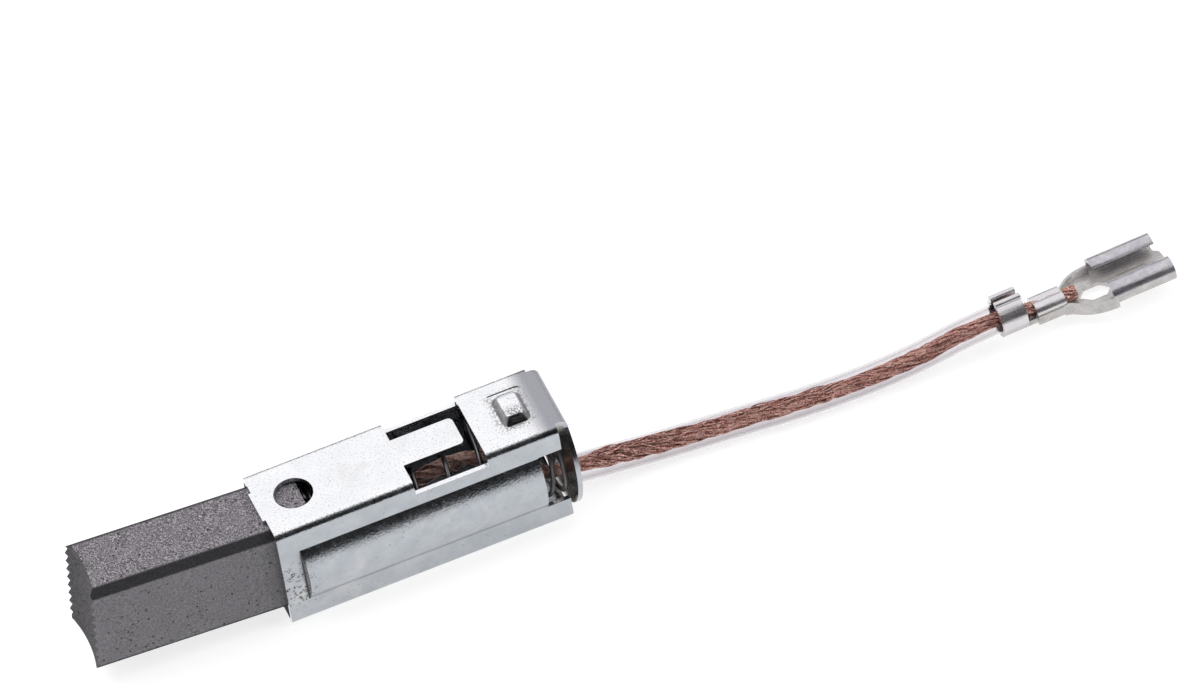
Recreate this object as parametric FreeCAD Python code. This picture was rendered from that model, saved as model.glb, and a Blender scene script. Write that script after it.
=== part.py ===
import FreeCAD, Part
import math
import os

# Carbon brush in a folded spring cartridge, with a copper shunt rope that leaves through
# the end plate in a clear sleeve and ends in a push-on receptacle. Millimetres.
# X runs from the cartridge's mouth towards the receptacle, Y runs across it, Z is up.
# The origin is the middle of the mouth edge of the seam face, on which the brush lies.

V = FreeCAD.Vector
X_AXIS, Y_AXIS, Z_AXIS = V(1, 0, 0), V(0, 1, 0), V(0, 0, 1)

# Cartridge: one folded and plated sheet
SHEET = 0.5
WALL_LENGTH = 30.2
WIDTH = 9.5
HEIGHT = 13.2
LONG_BEND_RADIUS = 0.9
MOUTH_STUB_WIDTH = 4.0
MOUTH_STUB_LENGTH = 0.3
SIGHT_HOLE_DIAMETER = 4.0
SIGHT_HOLE_X = 3.75
WINDOW_START = 14.8
WINDOW_LENGTH = 7.8
WINDOW_DROP = 1.4
TONGUE_WIDTH = 3.7
TONGUE_LENGTH = 6.55
TONGUE_CORNER = 0.5
LATCH_X = 27.05
LATCH_LENGTH = 3.2
LATCH_WIDTH = 4.3
LATCH_RISE = 0.85
LATCH_SLOPE = 0.6
LATCH_CORNER = 0.8
LATCH_EDGE = 0.45
LATCH_STEP_MARGIN = 0.5
LATCH_STEP_DEPTH = 0.1
BULGE_START = 2.2
BULGE_LENGTH = 25.5
BULGE_DEPTH = 1.2
REAR_NOTCH_MARGIN = 0.1

# End plate, folded down from the window face
PLATE_GAP = 0.8
PLATE_BEND_RADIUS = 1.0
PLATE_LEAN = 3.0
PLATE_RADIUS = 6.6
PLATE_FLOOR_GAP = 0.1
LEAD_HOLE_CLEARANCE = 0.45

# Dovetail seam in the floor face
SEAM_WIDTH = 0.1
SEAM_DEPTH = 0.25
SEAM_START = 3.3
SEAM_STEP = 5.8
SEAM_SIDE_Y = 0.66
SEAM_DEPTH_Y = 2.36
SEAM_UNDERCUT = 0.45

# Carbon block
BLOCK_WIDTH = 7.85
BLOCK_HEIGHT = 11.25
BLOCK_LENGTH = 24.0
BLOCK_ENGAGED = 4.3
BLOCK_CHAMFER = 0.7
BLOCK_LEAN = 2.6
BLOCK_YAW = 1.6
BLOCK_WALL_CLEARANCE = 0.1
CONTACT_RADIUS = 16.0
CONTACT_SLANT = 2.0
TOOTH_PITCH = 1.15
TOOTH_DEPTH = 0.35
TAMPING_DIAMETER = 3.2
TAMPING_DEPTH = 4.0
TAMPING_FIT = 0.05

# Coil spring
SPRING_WIRE = 0.5
SPRING_WIRE_SIDES = 6
SPRING_CLEARANCE = 0.25
SPRING_BLOCK_GAP = 0.1
SPRING_PLATE_GAP = 0.1
CLOSED_PITCH = 0.55
FRONT_CLOSED_TURNS = 1
ACTIVE_TURNS = 7
REAR_CLOSED_TURNS = 1

# Copper rope and its sleeve
ROPE_DIAMETER = 1.5
ROPE_IN_BLOCK = 3.0
SLEEVE_DIAMETER = 3.2
SLEEVE_WALL = 0.25
SLEEVE_PLATE_GAP = 0.1
FLOOR_CLEARANCE = 0.02
LEAD_EXIT = V(0, -0.8, 3.0)
SLEEVE_SAG = 0.5
ROPE_BEHIND_BLOCK = 4.0
INNER_SLACK = [V(14.0, 0.1, 7.6), V(19.8, -0.1, 9.4), V(24.6, -0.4, 8.2), V(27.6, -0.7, 5.0)]
ROPE_BEFORE_PLATE = 1.9
FIRST_BEND = V(35.6, -1.1, 2.15)
FLOOR_BENDS = [(41.5, -1.45), (48.6, -2.1), (56.4, -3.0), (64.0, -3.15)]
LIFT_BEND = V(69.3, -3.2, 0.6)
ROPE_OVER_SLEEVE_AXIS = 0.3
SLEEVE_BEFORE_CRIMP = 3.0
SLEEVE_PAST_CRIMP = 0.3

# Receptacle: one stamped and rolled strip
STRIP = 0.4
TERMINAL_LENGTH = 18.6
TERMINAL_WIDTH = 7.6
ROLL_HEIGHT = 2.4
ROLL_LENGTH = 6.8
TIP_LIP = 0.5
ROLL_SWEEP = 240
DIMPLE_RADIUS = 0.55
DIMPLE_TOP_RADIUS = 0.3
DIMPLE_RISE = 0.3
TONGUE_SLIT = 0.15
TONGUE_HALF_WIDTH = 1.1
TONGUE_REACH = (13.3, 16.6)
TIP_HOLE_DIAMETER = 0.8
INSULATION_CRIMP_LENGTH = 2.7
INSULATION_CRIMP_OPENING = 40
TROUGH_SPREAD = 96
WING_LIP_RADIUS = 0.36
CRIMP_GAP = 1.2
WIRE_CRIMP_LENGTH = 3.2
CRIMP_FIT = 0.02
WIRE_CRIMP_WIDTH = 2.9
CRIMP_FLOOR_RISE = 0.08
TUFT_LENGTH = 1.5
NECK_WALL_HEIGHT = 1.2
NECK_HOLE = (8.7, 9.8, 11.4, 12.5)
NECK_HOLE_HALF_WIDTH = 1.3
WALL_TUCK = 0.04
TERMINAL_SEAT = V(76.7, -3.1, 3.15)
TERMINAL_YAW = 3.3
TERMINAL_PITCH = -1.0
TERMINAL_ROLL = 15.0

# Derived places
TOP = HEIGHT
HALF_WIDTH = WIDTH / 2
SPRING_Z = HEIGHT / 2
BULGE_RADIUS = HALF_WIDTH + BULGE_DEPTH
BULGE_END = BULGE_START + BULGE_LENGTH
PLATE_INNER_X = WALL_LENGTH + PLATE_GAP
BEND_X = PLATE_INNER_X + SHEET - PLATE_BEND_RADIUS
BEND_Z = TOP - PLATE_BEND_RADIUS
ROPE_RADIUS = ROPE_DIAMETER / 2
SLEEVE_RADIUS = SLEEVE_DIAMETER / 2
SLEEVE_BORE = SLEEVE_RADIUS - SLEEVE_WALL
LEAN_TAN = math.tan(math.radians(PLATE_LEAN))
BLOCK_HALF_LEANING = BLOCK_HEIGHT / 2 / math.cos(math.radians(BLOCK_LEAN))
BLOCK_HALF_TURNED = BLOCK_WIDTH / 2 / math.cos(math.radians(BLOCK_YAW))
BLOCK_AXIS_Z = TOP - SHEET - BLOCK_WALL_CLEARANCE - BLOCK_HALF_LEANING
BLOCK_AXIS_Y = HALF_WIDTH - SHEET - BLOCK_WALL_CLEARANCE - BLOCK_HALF_TURNED
BLOCK_SLOPE = math.tan(math.radians(BLOCK_LEAN))


def bar(x0, x1, half_width, z0, z1, radius):
    """A bar along X with its four long edges rounded."""
    box = Part.makeBox(x1 - x0, 2 * half_width, z1 - z0, V(x0, -half_width, z0))
    edges = [e for e in box.Edges if abs(e.tangentAt(e.FirstParameter).x) > 0.99]
    return box.makeFillet(radius, edges)


def box_on_centre(x0, x1, width, z0, z1):
    return Part.makeBox(x1 - x0, width, z1 - z0, V(x0, -width / 2, z0))


def x_cylinder(radius, x0, x1, y, z):
    return Part.makeCylinder(radius, x1 - x0, V(x0, y, z), X_AXIS)


def plate_inner_x(z):
    """Where the leaning end plate's inner face lies at a height."""
    return PLATE_INNER_X - (BEND_Z - z) * LEAN_TAN


def add_bulges(shell):
    """Half-round bulges in both side walls, which clear the spring."""
    outer = x_cylinder(BULGE_RADIUS, BULGE_START, BULGE_END, 0, SPRING_Z)
    core = box_on_centre(BULGE_START, BULGE_END, WIDTH - SHEET, 0, HEIGHT)
    inner = x_cylinder(BULGE_RADIUS - SHEET, BULGE_START + SHEET, BULGE_END, 0, SPRING_Z)
    return shell.fuse(outer.cut(core)).cut(inner)


def rear_notches():
    """Openings behind the bulges, as high as the bulges."""
    half = math.sqrt(BULGE_RADIUS ** 2 - HALF_WIDTH ** 2) + REAR_NOTCH_MARGIN
    return box_on_centre(BULGE_END, WALL_LENGTH + 1, WIDTH * 2, SPRING_Z - half, SPRING_Z + half)


def window_with_tongue(shell):
    """A window over the full width, with a flush tongue that stands in it."""
    end = WINDOW_START + WINDOW_LENGTH
    shell = shell.cut(box_on_centre(WINDOW_START, end, WIDTH * 2, TOP - WINDOW_DROP, TOP + 1))
    tip = WINDOW_START + TONGUE_LENGTH
    tongue = box_on_centre(WINDOW_START - SHEET, tip, TONGUE_WIDTH, TOP - SHEET, TOP)
    corners = [e for e in tongue.Edges
               if abs(e.tangentAt(e.FirstParameter).z) > 0.99 and e.CenterOfMass.x > tip - 0.01]
    return shell.fuse(tongue.makeFillet(TONGUE_CORNER, corners))


def latch_form(inset, z0, z1):
    """The pressed latch as a frustum: its foot at z0, its top at z1."""
    wires = []
    for z, shrink in ((z0, inset), (z1, inset + LATCH_SLOPE)):
        half_x = LATCH_LENGTH / 2 - shrink
        half_y = LATCH_WIDTH / 2 - shrink
        corners = [V(LATCH_X + sx * half_x, sy * half_y, z)
                   for sx, sy in ((-1, -1), (1, -1), (1, 1), (-1, 1), (-1, -1))]
        wires.append(Part.makePolygon(corners))
    return Part.makeLoft(wires, True)


def add_latch(shell):
    """A square boss pressed out of the window face, with a shallow step round its foot."""
    boss = latch_form(0, TOP - SHEET / 2, TOP + LATCH_RISE)
    boss = boss.makeFillet(LATCH_CORNER, [e for e in boss.Edges if e.BoundBox.ZLength > LATCH_RISE])
    rim = [e for e in boss.Edges if e.BoundBox.ZMin > TOP + LATCH_RISE - 0.01]
    boss = boss.makeFillet(LATCH_EDGE, rim)
    step = box_on_centre(LATCH_X - LATCH_LENGTH / 2 - LATCH_STEP_MARGIN,
                         LATCH_X + LATCH_LENGTH / 2 + LATCH_STEP_MARGIN,
                         LATCH_WIDTH + 2 * LATCH_STEP_MARGIN, TOP - LATCH_STEP_DEPTH, TOP + 1)
    step = step.makeFillet(LATCH_CORNER, [e for e in step.Edges if e.BoundBox.ZLength > SHEET])
    hollow = latch_form(SHEET, TOP - 2 * SHEET, TOP + LATCH_RISE - SHEET)
    return shell.cut(step).fuse(boss).cut(hollow)


def end_plate():
    """The flange that folds down from the window face and closes the cartridge's rear."""
    neck = 2 * (HALF_WIDTH - LONG_BEND_RADIUS)
    strip = box_on_centre(WALL_LENGTH - SHEET, BEND_X, neck, TOP - SHEET, TOP)
    section = Part.Face(Part.makePolygon([
        V(BEND_X, -neck / 2, TOP - SHEET), V(BEND_X, neck / 2, TOP - SHEET),
        V(BEND_X, neck / 2, TOP), V(BEND_X, -neck / 2, TOP), V(BEND_X, -neck / 2, TOP - SHEET)]))
    bend_centre = V(BEND_X, 0, BEND_Z)
    bend = section.revolve(bend_centre, Y_AXIS, 90 + PLATE_LEAN)
    centre_z = PLATE_FLOOR_GAP + PLATE_RADIUS
    disc = x_cylinder(PLATE_RADIUS, PLATE_INNER_X, PLATE_INNER_X + SHEET, 0, centre_z)
    below_bend = Part.makeBox(SHEET, 3 * PLATE_RADIUS, BEND_Z + 1,
                              V(PLATE_INNER_X, -1.5 * PLATE_RADIUS, -1))
    web = box_on_centre(PLATE_INNER_X, PLATE_INNER_X + SHEET, neck, centre_z, BEND_Z)
    plate = disc.common(below_bend).fuse(web)
    plate.rotate(bend_centre, Y_AXIS, PLATE_LEAN)
    hole = x_cylinder(ROPE_RADIUS + LEAD_HOLE_CLEARANCE, WALL_LENGTH, PLATE_INNER_X + 1,
                      LEAD_EXIT.y, LEAD_EXIT.z)
    return strip.fuse([bend, plate]).cut(hole)


def seam_cut():
    """A dovetail seam as a fine groove along the floor face."""
    sides = (SEAM_SIDE_Y, SEAM_SIDE_Y - SEAM_DEPTH_Y)
    points = [V(-1, sides[0], 0)]
    turn, side = SEAM_START, 0
    while turn < WALL_LENGTH:
        points.append(V(turn + SEAM_UNDERCUT, sides[side], 0))
        side = 1 - side
        points.append(V(turn - SEAM_UNDERCUT, sides[side], 0))
        turn += SEAM_STEP
    points.append(V(WALL_LENGTH + 1, sides[side], 0))
    cuts = []
    for a, b in zip(points, points[1:]):
        run = Part.makeBox(a.distanceToPoint(b) + SEAM_WIDTH, SEAM_WIDTH, 2 * SEAM_DEPTH,
                           V(-SEAM_WIDTH / 2, -SEAM_WIDTH / 2, -SEAM_DEPTH))
        run.rotate(V(0, 0, 0), Z_AXIS, math.degrees(math.atan2(b.y - a.y, b.x - a.x)))
        run.translate(a)
        cuts.append(run)
    return cuts[0].fuse(cuts[1:])


def holder():
    """The cartridge: a square tube with bulged sides, folded from one sheet."""
    inner_half = HALF_WIDTH - SHEET
    shell = bar(0, WALL_LENGTH, HALF_WIDTH, 0, TOP, LONG_BEND_RADIUS)
    shell = shell.cut(bar(-1, WALL_LENGTH + 1, inner_half, SHEET, TOP - SHEET,
                          LONG_BEND_RADIUS - SHEET))
    shell = add_bulges(shell).cut(rear_notches())
    shell = window_with_tongue(shell)
    sight_hole = Part.makeCylinder(SIGHT_HOLE_DIAMETER / 2, 2 * SHEET,
                                   V(SIGHT_HOLE_X, 0, TOP - 1.5 * SHEET))
    shell = shell.cut(sight_hole)
    stub = box_on_centre(-MOUTH_STUB_LENGTH, SHEET, MOUTH_STUB_WIDTH, TOP - SHEET, TOP)
    shell = add_latch(shell.fuse([stub, end_plate()]))
    return shell.cut(seam_cut()).removeSplitter()


def contact_cutter(tip_x):
    """A toothed roller that shapes the hollow, ribbed contact end."""
    sagitta = CONTACT_RADIUS - math.sqrt(CONTACT_RADIUS ** 2 - (BLOCK_WIDTH / 2) ** 2)
    teeth = math.ceil(BLOCK_HEIGHT / TOOTH_PITCH) + 1
    low = -teeth * TOOTH_PITCH / 2
    points = [V(0, 0, low)]
    for tooth in range(teeth):
        z = low + tooth * TOOTH_PITCH
        points.append(V(CONTACT_RADIUS - TOOTH_DEPTH, 0, z))
        points.append(V(CONTACT_RADIUS, 0, z + TOOTH_PITCH / 2))
    points.append(V(CONTACT_RADIUS - TOOTH_DEPTH, 0, -low))
    points.append(V(0, 0, -low))
    points.append(points[0])
    roller = Part.Face(Part.makePolygon(points)).revolve(V(0, 0, 0), Z_AXIS, 360)
    roller.translate(V(tip_x + TOOTH_DEPTH + sagitta - CONTACT_RADIUS, 0, 0))
    roller.rotate(V(tip_x, 0, -BLOCK_HEIGHT / 2), Y_AXIS, CONTACT_SLANT)
    return roller


def lean_with_block(shape):
    """From the block's own frame, level and centred on its axis at the mouth, to its place."""
    shape.rotate(V(0, 0, 0), Y_AXIS, BLOCK_LEAN)
    shape.rotate(V(0, 0, 0), Z_AXIS, -BLOCK_YAW)
    shape.translate(V(0, BLOCK_AXIS_Y, BLOCK_AXIS_Z))
    return shape


def carbon_block():
    """The carbon, with chamfered long edges, a ribbed contact end and the rope's pocket."""
    tip_x = BLOCK_ENGAGED - BLOCK_LENGTH
    block = Part.makeBox(BLOCK_LENGTH, BLOCK_WIDTH, BLOCK_HEIGHT,
                         V(tip_x, -BLOCK_WIDTH / 2, -BLOCK_HEIGHT / 2))
    long_edges = [e for e in block.Edges if abs(e.tangentAt(e.FirstParameter).x) > 0.99]
    block = block.makeChamfer(BLOCK_CHAMFER, long_edges)
    block = block.cut(contact_cutter(tip_x))
    pocket = x_cylinder(TAMPING_DIAMETER / 2, BLOCK_ENGAGED - TAMPING_DEPTH, BLOCK_ENGAGED, 0, 0)
    return lean_with_block(block.cut(pocket))


def shunt_tamping():
    """Packed copper powder that holds the rope in the block's pocket."""
    plug = x_cylinder(TAMPING_DIAMETER / 2, BLOCK_ENGAGED - TAMPING_DEPTH, BLOCK_ENGAGED, 0, 0)
    rope = x_cylinder(ROPE_RADIUS + TAMPING_FIT, BLOCK_ENGAGED - ROPE_IN_BLOCK - TAMPING_FIT,
                      BLOCK_ENGAGED, 0, 0)
    return lean_with_block(plug.cut(rope))


def half_turn(start, end, side):
    """Half a turn of the spring's wire, which passes its axis on one side."""
    centre = (start + end) / 2
    axis = (start - centre).cross(V(0, side, 0))
    across = (end - start).normalize()
    upright = across.cross(Y_AXIS)
    corners = []
    for step in range(SPRING_WIRE_SIDES + 1):
        angle = 2 * math.pi * (step + 0.5) / SPRING_WIRE_SIDES
        reach = SPRING_WIRE / 2 / math.cos(math.pi / SPRING_WIRE_SIDES)
        corners.append(start + across * (reach * math.cos(angle)) + upright * (reach * math.sin(angle)))
    return Part.Face(Part.makePolygon(corners)).revolve(centre, axis, 180)


def spring():
    """The coil spring between the block and the end plate, with closed end coils."""
    block_rear = BLOCK_ENGAGED + BLOCK_HEIGHT / 2 * BLOCK_SLOPE
    radius = BULGE_RADIUS - SHEET - SPRING_CLEARANCE - SPRING_WIRE / 2
    front = block_rear + SPRING_BLOCK_GAP + SPRING_WIRE / 2
    rear = plate_inner_x(SPRING_Z - radius - SPRING_WIRE / 2) - SPRING_PLATE_GAP - SPRING_WIRE / 2
    closed_length = (FRONT_CLOSED_TURNS + REAR_CLOSED_TURNS) * CLOSED_PITCH
    active_pitch = (rear - front - closed_length) / ACTIVE_TURNS
    pitches = [CLOSED_PITCH] * FRONT_CLOSED_TURNS + [active_pitch] * ACTIVE_TURNS
    pitches += [CLOSED_PITCH] * REAR_CLOSED_TURNS
    halves = []
    x = front
    for pitch in pitches:
        top = V(x, 0, SPRING_Z + radius)
        low = V(x + pitch / 2, 0, SPRING_Z - radius)
        x += pitch
        halves.append(half_turn(top, low, 1))
        halves.append(half_turn(low, V(x, 0, SPRING_Z + radius), -1))
    return halves[0].fuse(halves[1:])


def route_wire(points, label):
    """Straight runs joined by tangent arcs, each as large as its two runs allow."""
    edges, radii = [], []
    start = points[0]
    for before, corner, after in zip(points, points[1:], points[2:]):
        way_in = (corner - before).normalize()
        way_out = (after - corner).normalize()
        turn = way_in.getAngle(way_out)
        short = min(before.distanceToPoint(corner), corner.distanceToPoint(after))
        setback = 0.45 * short
        radius = setback / math.tan(turn / 2)
        arc_start = corner - way_in * setback
        arc_end = corner + way_out * setback
        inward = (way_out - way_in).normalize()
        middle = corner + inward * (radius / math.cos(turn / 2) - radius)
        edges.append(Part.LineSegment(start, arc_start).toShape())
        edges.append(Part.Arc(arc_start, middle, arc_end).toShape())
        radii.append(round(radius, 1))
        start = arc_end
    edges.append(Part.LineSegment(start, points[-1]).toShape())
    wire = Part.Wire(edges)
    print(label, "length", round(wire.Length, 2), "bend radii", radii)
    return wire


def tube(points, radius, label):
    wire = route_wire(points, label)
    section = Part.Wire(Part.makeCircle(radius, points[0], points[1] - points[0]))
    solid = wire.makePipeShell([section], True, False)
    print(label, "volume", round(solid.Volume, 3),
          "section times length", round(math.pi * radius ** 2 * wire.Length, 3))
    return solid


def rope_split_x():
    """The middle of the end plate at the lead's height."""
    return plate_inner_x(LEAD_EXIT.z) + SHEET / 2


def inner_route():
    """The rope's slack line inside the spring, from the block's pocket to the end plate."""
    start_x = BLOCK_ENGAGED - ROPE_IN_BLOCK
    pocket = lean_with_block(Part.Vertex(V(start_x, 0, 0))).Point
    free = lean_with_block(Part.Vertex(V(BLOCK_ENGAGED + ROPE_BEHIND_BLOCK, 0, 0))).Point
    split = rope_split_x()
    return [pocket, free, *INNER_SLACK,
            V(split - ROPE_BEFORE_PLATE, LEAD_EXIT.y, LEAD_EXIT.z + ROPE_DIAMETER / 10),
            V(split, LEAD_EXIT.y, LEAD_EXIT.z)]


def on_terminal(u, w):
    """A point of the receptacle's middle plane: u along it from its rear, w above its seat."""
    return terminal_placement().multVec(V(u, 0, w))


def terminal_placement():
    turn = FreeCAD.Rotation(TERMINAL_YAW, -TERMINAL_PITCH, 0).multiply(
        FreeCAD.Rotation(X_AXIS, -TERMINAL_ROLL))
    return FreeCAD.Placement(TERMINAL_SEAT, turn)


def floor_run():
    """The lead's line on the surface, as the sleeve lies."""
    low = V(0, 0, SLEEVE_RADIUS + FLOOR_CLEARANCE)
    return [V(x, y, 0) + low for x, y in FLOOR_BENDS] + [LIFT_BEND + low]


def sleeve_route():
    start_x = plate_inner_x(LEAD_EXIT.z) + SHEET + SLEEVE_PLATE_GAP
    head = [V(start_x, LEAD_EXIT.y, LEAD_EXIT.z - SLEEVE_SAG), FIRST_BEND]
    tail = [on_terminal(-SLEEVE_BEFORE_CRIMP, 0),
            on_terminal(INSULATION_CRIMP_LENGTH + SLEEVE_PAST_CRIMP, 0)]
    return head + floor_run() + tail


def rope_route():
    """The rope from the end plate through the sleeve to the tuft before the receptacle."""
    drop = wire_crimp_axis()
    crimp_start = INSULATION_CRIMP_LENGTH + CRIMP_GAP
    head = [V(rope_split_x(), LEAD_EXIT.y, LEAD_EXIT.z), FIRST_BEND + Z_AXIS * ROPE_OVER_SLEEVE_AXIS]
    tail = [on_terminal(-SLEEVE_BEFORE_CRIMP, 0), on_terminal(INSULATION_CRIMP_LENGTH - CRIMP_GAP, -0.1),
            on_terminal(crimp_start, drop),
            on_terminal(crimp_start + WIRE_CRIMP_LENGTH + TUFT_LENGTH, drop + 0.05)]
    return head + floor_run() + tail


def seat_depth():
    """From the sleeve's axis down to the strip's underside."""
    return SLEEVE_RADIUS + CRIMP_FIT + STRIP


def wire_crimp_axis():
    """The rope's axis in its crimp, from the sleeve's axis."""
    return STRIP + CRIMP_FLOOR_RISE + ROPE_RADIUS + CRIMP_FIT - seat_depth()


def sector(radius_in, radius_out, v, w, start, end, u0, length):
    """A curved strip along the receptacle: a ring sector about a line parallel to it."""
    def at(radius, degrees):
        angle = math.radians(degrees)
        return V(u0, v + radius * math.cos(angle), w + radius * math.sin(angle))
    middle = (start + end) / 2
    outline = [Part.Arc(at(radius_out, start), at(radius_out, middle), at(radius_out, end)),
               Part.LineSegment(at(radius_out, end), at(radius_in, end)),
               Part.Arc(at(radius_in, end), at(radius_in, middle), at(radius_in, start)),
               Part.LineSegment(at(radius_in, start), at(radius_out, start))]
    return Part.Face(Part.Wire([e.toShape() for e in outline])).extrude(X_AXIS * length)


def insulation_crimp():
    """Two wings that wrap the sleeve, with curled tips apart, and the trough in front."""
    bore = SLEEVE_RADIUS + CRIMP_FIT
    half = INSULATION_CRIMP_OPENING / 2
    wings = sector(bore, bore + STRIP, 0, 0, 90 + half, 450 - half, 0, INSULATION_CRIMP_LENGTH)
    reach = bore + WING_LIP_RADIUS + CRIMP_FIT
    lips = [x_cylinder(WING_LIP_RADIUS, 0, INSULATION_CRIMP_LENGTH,
                       side * reach * math.sin(math.radians(half)), reach * math.cos(math.radians(half)))
            for side in (-1, 1)]
    trough = sector(bore, bore + STRIP, 0, 0, 270 - TROUGH_SPREAD / 2, 270 + TROUGH_SPREAD / 2,
                    INSULATION_CRIMP_LENGTH - STRIP, CRIMP_GAP + 2 * STRIP)
    return [wings, trough] + lips


def wire_crimp():
    """The rope's crimp: two rolled wings side by side over a rounded base."""
    start = INSULATION_CRIMP_LENGTH + CRIMP_GAP
    base_low = -seat_depth()
    lobe = WIRE_CRIMP_WIDTH / 4 + 0.12
    lobe_y = WIRE_CRIMP_WIDTH / 2 - lobe - WALL_TUCK
    lobe_z = base_low + STRIP + ROPE_RADIUS + 0.25
    body = bar(start, start + WIRE_CRIMP_LENGTH, WIRE_CRIMP_WIDTH / 2, base_low, lobe_z, STRIP)
    lobes = [x_cylinder(lobe, start, start + WIRE_CRIMP_LENGTH, side * lobe_y, lobe_z)
             for side in (-1, 1)]
    bore = x_cylinder(ROPE_RADIUS + CRIMP_FIT, start - 1, start + WIRE_CRIMP_LENGTH + 1,
                      0, wire_crimp_axis())
    return body.fuse(lobes).cut(bore)


def neck_curve(side, inset):
    """The plan line of one side of the neck, which widens from the crimp to a roll."""
    crimp_end = INSULATION_CRIMP_LENGTH + CRIMP_GAP + WIRE_CRIMP_LENGTH
    roll_start = TERMINAL_LENGTH - TIP_LIP - ROLL_LENGTH
    narrow = side * (WIRE_CRIMP_WIDTH / 2 - inset)
    wide = side * (TERMINAL_WIDTH / 2 - WALL_TUCK - inset)
    curve = Part.BezierCurve()
    curve.setPoles([V(crimp_end - STRIP, narrow, -seat_depth()),
                    V(crimp_end + 0.7, narrow, -seat_depth()),
                    V(crimp_end + 0.9, wide, -seat_depth()),
                    V(roll_start + STRIP, wide, -seat_depth())])
    return curve


def closed_face(curve, other):
    """The flat face between two curves, closed by straight ends."""
    ends = [Part.LineSegment(curve.value(t), other.value(t)) for t in (0, 1)]
    return Part.Face(Part.Wire(Part.__sortEdges__([c.toShape() for c in (curve, other, *ends)])))


def neck():
    """The floor and the two side walls between the crimp and the rolls."""
    walls = [closed_face(neck_curve(side, 0), neck_curve(side, STRIP)) for side in (-1, 1)]
    floor = closed_face(neck_curve(-1, STRIP / 2), neck_curve(1, STRIP / 2))
    return [w.extrude(Z_AXIS * NECK_WALL_HEIGHT) for w in walls] + [floor.extrude(Z_AXIS * STRIP)]


def floor_openings():
    """Cut from the floor: the neck's six-sided hole, the tongue's slit and a small round hole."""
    low = -seat_depth() - 1
    rear, wide_from, wide_to, front = NECK_HOLE
    half = NECK_HOLE_HALF_WIDTH
    corners = [(rear, 0), (wide_from, half), (wide_to, half), (front, 0), (wide_to, -half),
               (wide_from, -half), (rear, 0)]
    hole = Part.Face(Part.makePolygon([V(u, v, low) for u, v in corners])).extrude(Z_AXIS * 2)
    start, end = TONGUE_REACH
    wide = 2 * TONGUE_HALF_WIDTH
    around = Part.makeBox(end - start, wide, 2, V(start, -wide / 2, low))
    tongue = Part.makeBox(end - TONGUE_SLIT - start, wide - 2 * TONGUE_SLIT, 2,
                          V(start, TONGUE_SLIT - wide / 2, low))
    pin = Part.makeCylinder(TIP_HOLE_DIAMETER / 2, 2, V((end + TERMINAL_LENGTH) / 2, 0, low))
    return [hole, pin, around.cut(tongue)]


def receptacle():
    """The flat socket: a floor between two rolled edges, which grip a blade."""
    low = -seat_depth()
    roll_radius = ROLL_HEIGHT / 2
    roll_y = TERMINAL_WIDTH / 2 - roll_radius
    roll_start = TERMINAL_LENGTH - TIP_LIP - ROLL_LENGTH
    floor = Part.makeBox(ROLL_LENGTH + TIP_LIP, 2 * roll_y, STRIP, V(roll_start, -roll_y, low))
    tip = [e for e in floor.Edges if abs(e.tangentAt(e.FirstParameter).z) > 0.99
           and e.CenterOfMass.x > TERMINAL_LENGTH - 0.01]
    floor = floor.makeChamfer(TIP_LIP, tip)
    dimple = Part.makeCone(DIMPLE_RADIUS, DIMPLE_TOP_RADIUS, DIMPLE_RISE + STRIP / 2,
                           V(sum(TONGUE_REACH) / 2, 0, low + STRIP / 2))
    rolls = [sector(roll_radius - STRIP, roll_radius, roll_y, low + roll_radius,
                    -90, ROLL_SWEEP - 90, roll_start, ROLL_LENGTH)]
    rolls.append(rolls[0].mirror(V(0, 0, 0), Y_AXIS))
    return [floor, dimple] + rolls


def terminal():
    pieces = insulation_crimp() + [wire_crimp()] + receptacle() + neck()
    body = pieces[0].fuse(pieces[1:]).cut(floor_openings()).removeSplitter()
    body.Placement = terminal_placement()
    return body


def build():
    outer = tube(sleeve_route(), SLEEVE_RADIUS, "sleeve")
    bore = tube(sleeve_route(), SLEEVE_BORE, "sleeve bore")
    return {
        "holder": holder(),
        "carbon_block": carbon_block(),
        "shunt_tamping": shunt_tamping(),
        "spring": spring(),
        "shunt_inner": tube(inner_route(), ROPE_RADIUS, "inner rope"),
        "shunt_lead": tube(rope_route(), ROPE_RADIUS, "lead rope"),
        "sleeve": outer.cut(bore),
        "terminal": terminal(),
    }


os.makedirs("parts", exist_ok=True)
for name, shape in build().items():
    shape.exportStep(os.path.join("parts", name + ".step"))
    box = shape.optimalBoundingBox()
    print(name, "valid", shape.isValid(), "solids", len(shape.Solids),
          "volume", round(shape.Volume, 2), "z", round(box.ZMin, 3), round(box.ZMax, 3),
          "x", round(box.XMin, 2), round(box.XMax, 2))
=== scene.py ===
import math
import random

import bpy
from mathutils import Matrix, Vector


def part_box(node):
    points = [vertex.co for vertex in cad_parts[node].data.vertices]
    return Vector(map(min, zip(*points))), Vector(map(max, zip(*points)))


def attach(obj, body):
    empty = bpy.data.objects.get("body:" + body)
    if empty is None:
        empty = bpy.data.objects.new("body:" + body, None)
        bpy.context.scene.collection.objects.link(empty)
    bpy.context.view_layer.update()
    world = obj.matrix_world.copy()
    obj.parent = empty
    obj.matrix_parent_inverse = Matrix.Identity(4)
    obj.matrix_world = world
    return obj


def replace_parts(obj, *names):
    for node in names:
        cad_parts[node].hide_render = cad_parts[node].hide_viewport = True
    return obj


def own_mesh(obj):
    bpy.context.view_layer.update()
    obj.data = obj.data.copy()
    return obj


MM = 0.001

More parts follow.
